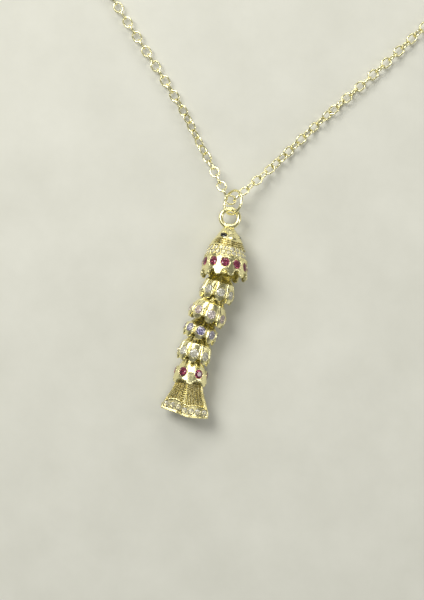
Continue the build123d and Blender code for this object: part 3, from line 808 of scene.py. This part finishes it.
def build_tail():
    a = radians(TAIL_YAW)
    casting = Casting(joint_place("tail_bend"), (-sin(a), -cos(a), 0))
    collar, spots = tail_collar(casting)
    gems, seats = stones_and_seats(spots, STONE_R)
    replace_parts(mesh_piece("tail_rubies", *gems, "tail", "ruby_stone", RUBY, False), "tail_ruby_stones")
    small, small_seats = stones_and_seats(fan_stone_spots(casting), FAN_STONE_R, skirt=0.08, rise=0.02)
    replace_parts(mesh_piece("tail_pave", *small, "tail", "white_stone", WHITE, False), "tail_pave_stones")
    mesh_piece("tail_collar", *joined([collar, seats]), "tail", "cast_gold", CAST_GOLD)
    fan = mesh_piece("tail_fan", *joined([fan_mesh(casting), small_seats]), "tail", "cast_gold", CAST_GOLD)
    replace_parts(fan, "tail_shell")


# ---------------------------------------------------------------- jump ring
def build_jump_ring():
    """The open jump ring: a round wire whose two ends almost meet."""
    lean = radians(JUMP_LEAN)
    across = np.array((cos(lean), 0, sin(lean)))
    turn = np.linspace(radians(JUMP_CUT), radians(JUMP_CUT + 358.4), 120)
    r = (JUMP_D - JUMP_WIRE) / 2
    path = middle_of("jump_ring") + r * (np.cos(turn)[:, None] * (0, 1, 0)
                                         + np.sin(turn)[:, None] * across)
    ring = tube(path, JUMP_WIRE / 2, 20, start_up=tuple(np.cross((0, 1, 0), across)))
    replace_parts(mesh_piece("jump_ring_wire", *ring, "jump_ring", "chain_gold", CHAIN_GOLD), "jump_ring")


build_head()
for number, (skirt_r, phase, paint, slot_name) in enumerate(
        zip(SEGMENT_RADII, SEGMENT_PHASES, (WHITE, PINK, VIOLET, WHITE),
            ("white_stone", "pink_stone", "violet_stone", "white_stone")), start=1):
    build_segment(number, skirt_r, phase, paint, slot_name)
build_tail()
build_jump_ring()


# ---------------------------------------------------------------- chain
BAIL = joint_place("head_swivel") * (1, 1, 0)
LINK_LONG, LINK_WIDE, LINK_WIRE = 2.5, 2.0, 0.35
LINK_PITCH = LINK_LONG - 2 * LINK_WIRE
COIL_START_R = 13.3
COIL_PITCH = 2.1                    # from one turn of a coil to the next
COIL_STEPS = 14                     # points of the line in each turn
CURL_IN = 60.0                      # the last links curl in this far round the coil to their ring
LINE_Z = (0, 0, 1.0)                # height of a coil's line
FIRST_LINK = 0.5                    # the first link's middle is this far along the line
SETTLED_LINKS = 3                   # links until the chain turns freely
SWAY = 0.62                         # slow turning of the links along a strand, in radians
TWIST_KEPT, TWIST_STEP = 0.86, 0.16     # the random turn of a link against the last
KNOT = joint_place("head_swivel") + (-0.62, 3.6, 0)     # middle of the link in the jump ring
KNOT_REACH = 0.66                   # from there to where a strand hangs on it
KNOT_SLOPE = 0.18
LEFT_COIL = BAIL + (-30.5, 57.65, 0)
RIGHT_COIL = BAIL + (30.4, 69.35, 0)
LEFT_LEAVES, RIGHT_LEAVES = -34.5, 36.0     # heading of each strand as it leaves the jump ring
LEFT_ENTER, RIGHT_ENTER = 222.8, -35.5      # where each joins its coil's outer turn
LEFT_STEPS, RIGHT_STEPS = 32, 29            # points of the line in each coil
LEFT_TILT, RIGHT_TILT = 0.0, -0.6           # turn of each first link, to clear the jump ring

# points of each strand's line from the bail, up to its coil
LEFT_ROUTE = (
    (-5.4, 9.6, 1.75),
    (-9.3, 14.2, 1.1),
    (-13.1, 19.4, 1.0),
    (-18.6, 25.3, 1.0),
    (-25.4, 32.4, 1.0),
    (-32.6, 39.9, 1.0),
)
RIGHT_ROUTE = (
    (5.3, 10.6, 1.65),
    (8.9, 15.9, 1.1),
    (13.0, 21.9, 1.0),
    (18.2, 28.9, 1.0),
    (25.3, 38.3, 1.0),
    (33.4, 50.2, 1.0),
)


def coil_points(centre, enter, sign, steps, ring):
    """The coil's turns from the outer one inwards, and the curl to the ring at the end."""
    points = []
    for i in range(steps + 1):
        r = COIL_START_R - COIL_PITCH * i / COIL_STEPS
        a = radians(enter + sign * 360 / COIL_STEPS * i)
        points.append(centre + r * np.array((cos(a), sin(a), 0)) + LINE_Z)
    for part in (0.4, 0.75):
        b = a + sign * radians(CURL_IN) * part
        inner = r + (float(np.hypot(*(ring - centre)[:2])) + 0.9 - r) * part
        points.append(centre + inner * np.array((cos(b), sin(b), 0)) + LINE_Z)
    points.append(ring * (1, 1, 0) + LINE_Z)
    return points


def smooth_line(name, points):
    """Points of the NURBS line with these control points."""
    curve = bpy.data.curves.new(name, "CURVE")
    curve.dimensions = "3D"
    spline = curve.splines.new("NURBS")
    spline.points.add(len(points) - 1)
    for point, place in zip(spline.points, points):
        point.co = (*(np.asarray(place) * MM), 1)
    spline.order_u = 3
    spline.use_endpoint_u = True
    spline.resolution_u = 16
    holder = bpy.data.objects.new(name, curve)
    mesh = bpy.data.meshes.new_from_object(holder)
    line = np.array([v.co[:] for v in mesh.vertices]) / MM
    bpy.data.objects.remove(holder)
    bpy.data.meshes.remove(mesh)
    return line


def link_shape(sides=10, bend_steps=12):
    """An oval cable link of round wire, its length along x and flat in the xy plane."""
    half, r = (LINK_LONG - LINK_WIDE) / 2, (LINK_WIDE - LINK_WIRE) / 2
    path = []
    for x, start in ((half, pi / 2), (-half, -pi / 2)):
        for i in range(bend_steps + 1):
            a = start - pi * i / bend_steps
            path.append((x + r * cos(a), r * sin(a), 0))
    return tube(path, LINK_WIRE / 2, sides, closed=True, start_up=(0, 0, 1))


def chain_strand(side, route, start, centre, enter, sign, steps, ring_node, first_tilt):
    """One strand: separate links along its smooth line, each turned against the last."""
    points = [start] + [BAIL + p for p in np.array(route)]
    points += coil_points(centre, enter, sign, steps, middle_of(ring_node))
    line = smooth_line(f"chain_{side}_line", points)
    step = np.linalg.norm(np.diff(line, axis=0), axis=1)
    run = np.concatenate([[0], np.cumsum(step)])
    shape, faces = link_shape()
    links, twist = [], 0.0
    count = int((run[-1] - FIRST_LINK) / LINK_PITCH)
    pitch = (run[-1] - FIRST_LINK) / count
    for i in range(count):
        at = FIRST_LINK + pitch * i
        middle = np.array([np.interp(at, run, line[:, k]) for k in range(3)])
        ahead = np.array([np.interp(min(at + 0.4, run[-1]), run, line[:, k]) for k in range(3)])
        behind = np.array([np.interp(at - 0.4, run, line[:, k]) for k in range(3)])
        way = (ahead - behind) / np.linalg.norm(ahead - behind)
        flat = np.cross((0, 0, 1), way)
        flat /= np.linalg.norm(flat)
        up = np.cross(way, flat)
        settle = min(i / SETTLED_LINKS, 1)
        twist = TWIST_KEPT * twist + rng.normal(0, TWIST_STEP)
        tilt = (pi / 2 if i % 2 else 0.0) + settle * (SWAY * sin(i * 0.23 + enter) + twist)
        tilt += (1 - settle) * first_tilt
        across = cos(tilt) * flat + sin(tilt) * up
        normal = np.cross(way, across)
        turned = shape[:, 0:1] * way + shape[:, 1:2] * across + shape[:, 2:3] * normal
        low = (middle + turned)[:, 2].min()
        links.append((middle + turned + (0, 0, max(0.0, 0.01 - low)), faces))
    piece = mesh_piece(f"chain_{side}", *joined(links), "chain", "chain_gold", CHAIN_GOLD)
    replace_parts(piece, f"chain_{side}_run", f"chain_{side}_coil")
    return piece, line, run[-1]


def strand_start(side, heading):
    """Where a strand's first link begins, past the side link that hangs on the middle link."""
    a = radians(heading)
    foot = KNOT + side * KNOT_REACH * np.array((1, 0, -KNOT_SLOPE))
    return foot + (LINK_LONG - LINK_WIRE / 2 + 0.05) * np.array((sin(a), cos(a), 0))


left, left_line, left_run = chain_strand(
    "left", LEFT_ROUTE, strand_start(-1, LEFT_LEAVES), LEFT_COIL,
    LEFT_ENTER, -1, LEFT_STEPS, "clasp_link_ring", LEFT_TILT)
right, right_line, right_run = chain_strand(
    "right", RIGHT_ROUTE, strand_start(1, RIGHT_LEAVES), RIGHT_COIL,
    RIGHT_ENTER, 1, RIGHT_STEPS, "tag_link_ring", RIGHT_TILT)


# ---------------------------------------------------------------- finish of the CAD pieces
def finish_node(name, paint):
    """Give a CAD piece that stays in view its material."""
    node = frame["nodes"][name]
    node.data.materials.clear()
    node.data.materials.append(paint)


for name in ("chain_middle_links", "clasp_link_ring", "tag_link_ring"):
    finish_node(name, CHAIN_GOLD)
for name in ("clasp_body", "clasp_lever", "end_tag"):
    finish_node(name, FITTING_GOLD)
for name in ("clasp_pin", "clasp_spring"):
    finish_node(name, STEEL)
finish_node("head_crossbar", CAST_GOLD)
finish_node("tail_eye", CAST_GOLD)
for number in range(1, 5):
    finish_node(f"segment_{number}_crossbar", CAST_GOLD)
    finish_node(f"segment_{number}_eye", CAST_GOLD)


# ---------------------------------------------------------------- floor, light and camera
def build_floor():
    made, shader, add, link = material("pale_floor")
    where = add("ShaderNodeTexCoord").outputs["Object"]
    cloud = add("ShaderNodeTexNoise", {"Vector": where, "Scale": 60.0, "Detail": 5.0, "Roughness": 0.6})
    colour = ramp(add, cloud.outputs["Fac"], ((0.3, (0.60, 0.60, 0.54)), (0.7, (0.66, 0.66, 0.60))))
    link(colour.outputs["Color"], "Base Color")
    shader.inputs["Roughness"].default_value = 0.85
    shader.inputs["Specular IOR Level"].default_value = 0.2
    half = 1.2                      # metres, like the places and sizes of the lights
    mesh = bpy.data.meshes.new("floor")
    mesh.from_pydata([(-half, -half, 0), (half, -half, 0), (half, half, 0), (-half, half, 0)], [],
                     [(0, 1, 2, 3)])
    mesh.materials.append(made)
    floor = bpy.data.objects.new("floor", mesh)
    bpy.context.scene.collection.objects.link(floor)
    floor.location.z = -0.00003


def softbox(name, place, target, size, power, colour=(1, 1, 1)):
    """A rectangular area light aimed at a point, sizes in metres."""
    light = bpy.data.lights.new(name, "AREA")
    light.shape = "RECTANGLE"
    light.size, light.size_y = size
    light.energy = power
    light.color = colour
    lamp = bpy.data.objects.new(name, light)
    lamp.location = place
    lamp.rotation_euler = (Vector(target) - Vector(place)).to_track_quat("-Z", "Y").to_euler()
    bpy.context.scene.collection.objects.link(lamp)


def build_light():
    world = bpy.data.worlds.new("studio")
    world.use_nodes = True
    background = world.node_tree.nodes["Background"]
    background.inputs["Color"].default_value = (0.80, 0.82, 0.76, 1)
    background.inputs["Strength"].default_value = 0.185
    bpy.context.scene.world = world
    bpy.context.scene.view_settings.view_transform = "Standard"
    middle = (0, 0, 0.004)
    softbox("window", (-0.28, 0.18, 0.40), middle, (0.24, 0.30), 2.10, (1.0, 0.985, 0.945))
    softbox("front", (-0.05, 0.46, 0.24), middle, (0.40, 0.18), 1.05, (1.0, 0.98, 0.93))
    softbox("ceiling", (0.06, -0.10, 0.50), middle, (0.14, 0.14), 0.41, (1.0, 0.99, 0.95))
    softbox("side", (0.42, 0.08, 0.20), middle, (0.10, 0.26), 0.45, (1.0, 0.97, 0.92))


def build_camera():
    """Almost straight down, turned so that the pendant leans the way it hangs in the picture."""
    turn, tilt, distance = radians(11.5), radians(4.0), 0.283
    right = Vector((cos(turn), sin(turn), 0))
    up = Vector((-sin(turn), cos(turn), 0))
    target = Vector(BAIL * MM) + Vector((-0.00022, -0.01686, 0.0035))      # metres, on the pendant
    back = (-up * sin(tilt) + Vector((0, 0, 1)) * cos(tilt)).normalized()
    above = back.cross(right)
    data = bpy.data.cameras.new("camera")
    data.lens = 85
    data.sensor_width = 36
    data.clip_start = 0.01
    camera = bpy.data.objects.new("camera", data)
    axes = Matrix((right, above, back)).transposed().to_4x4()
    camera.matrix_world = Matrix.Translation(target + back * distance) @ axes
    bpy.context.scene.collection.objects.link(camera)
    bpy.context.scene.camera = camera


build_floor()
build_light()
build_camera()
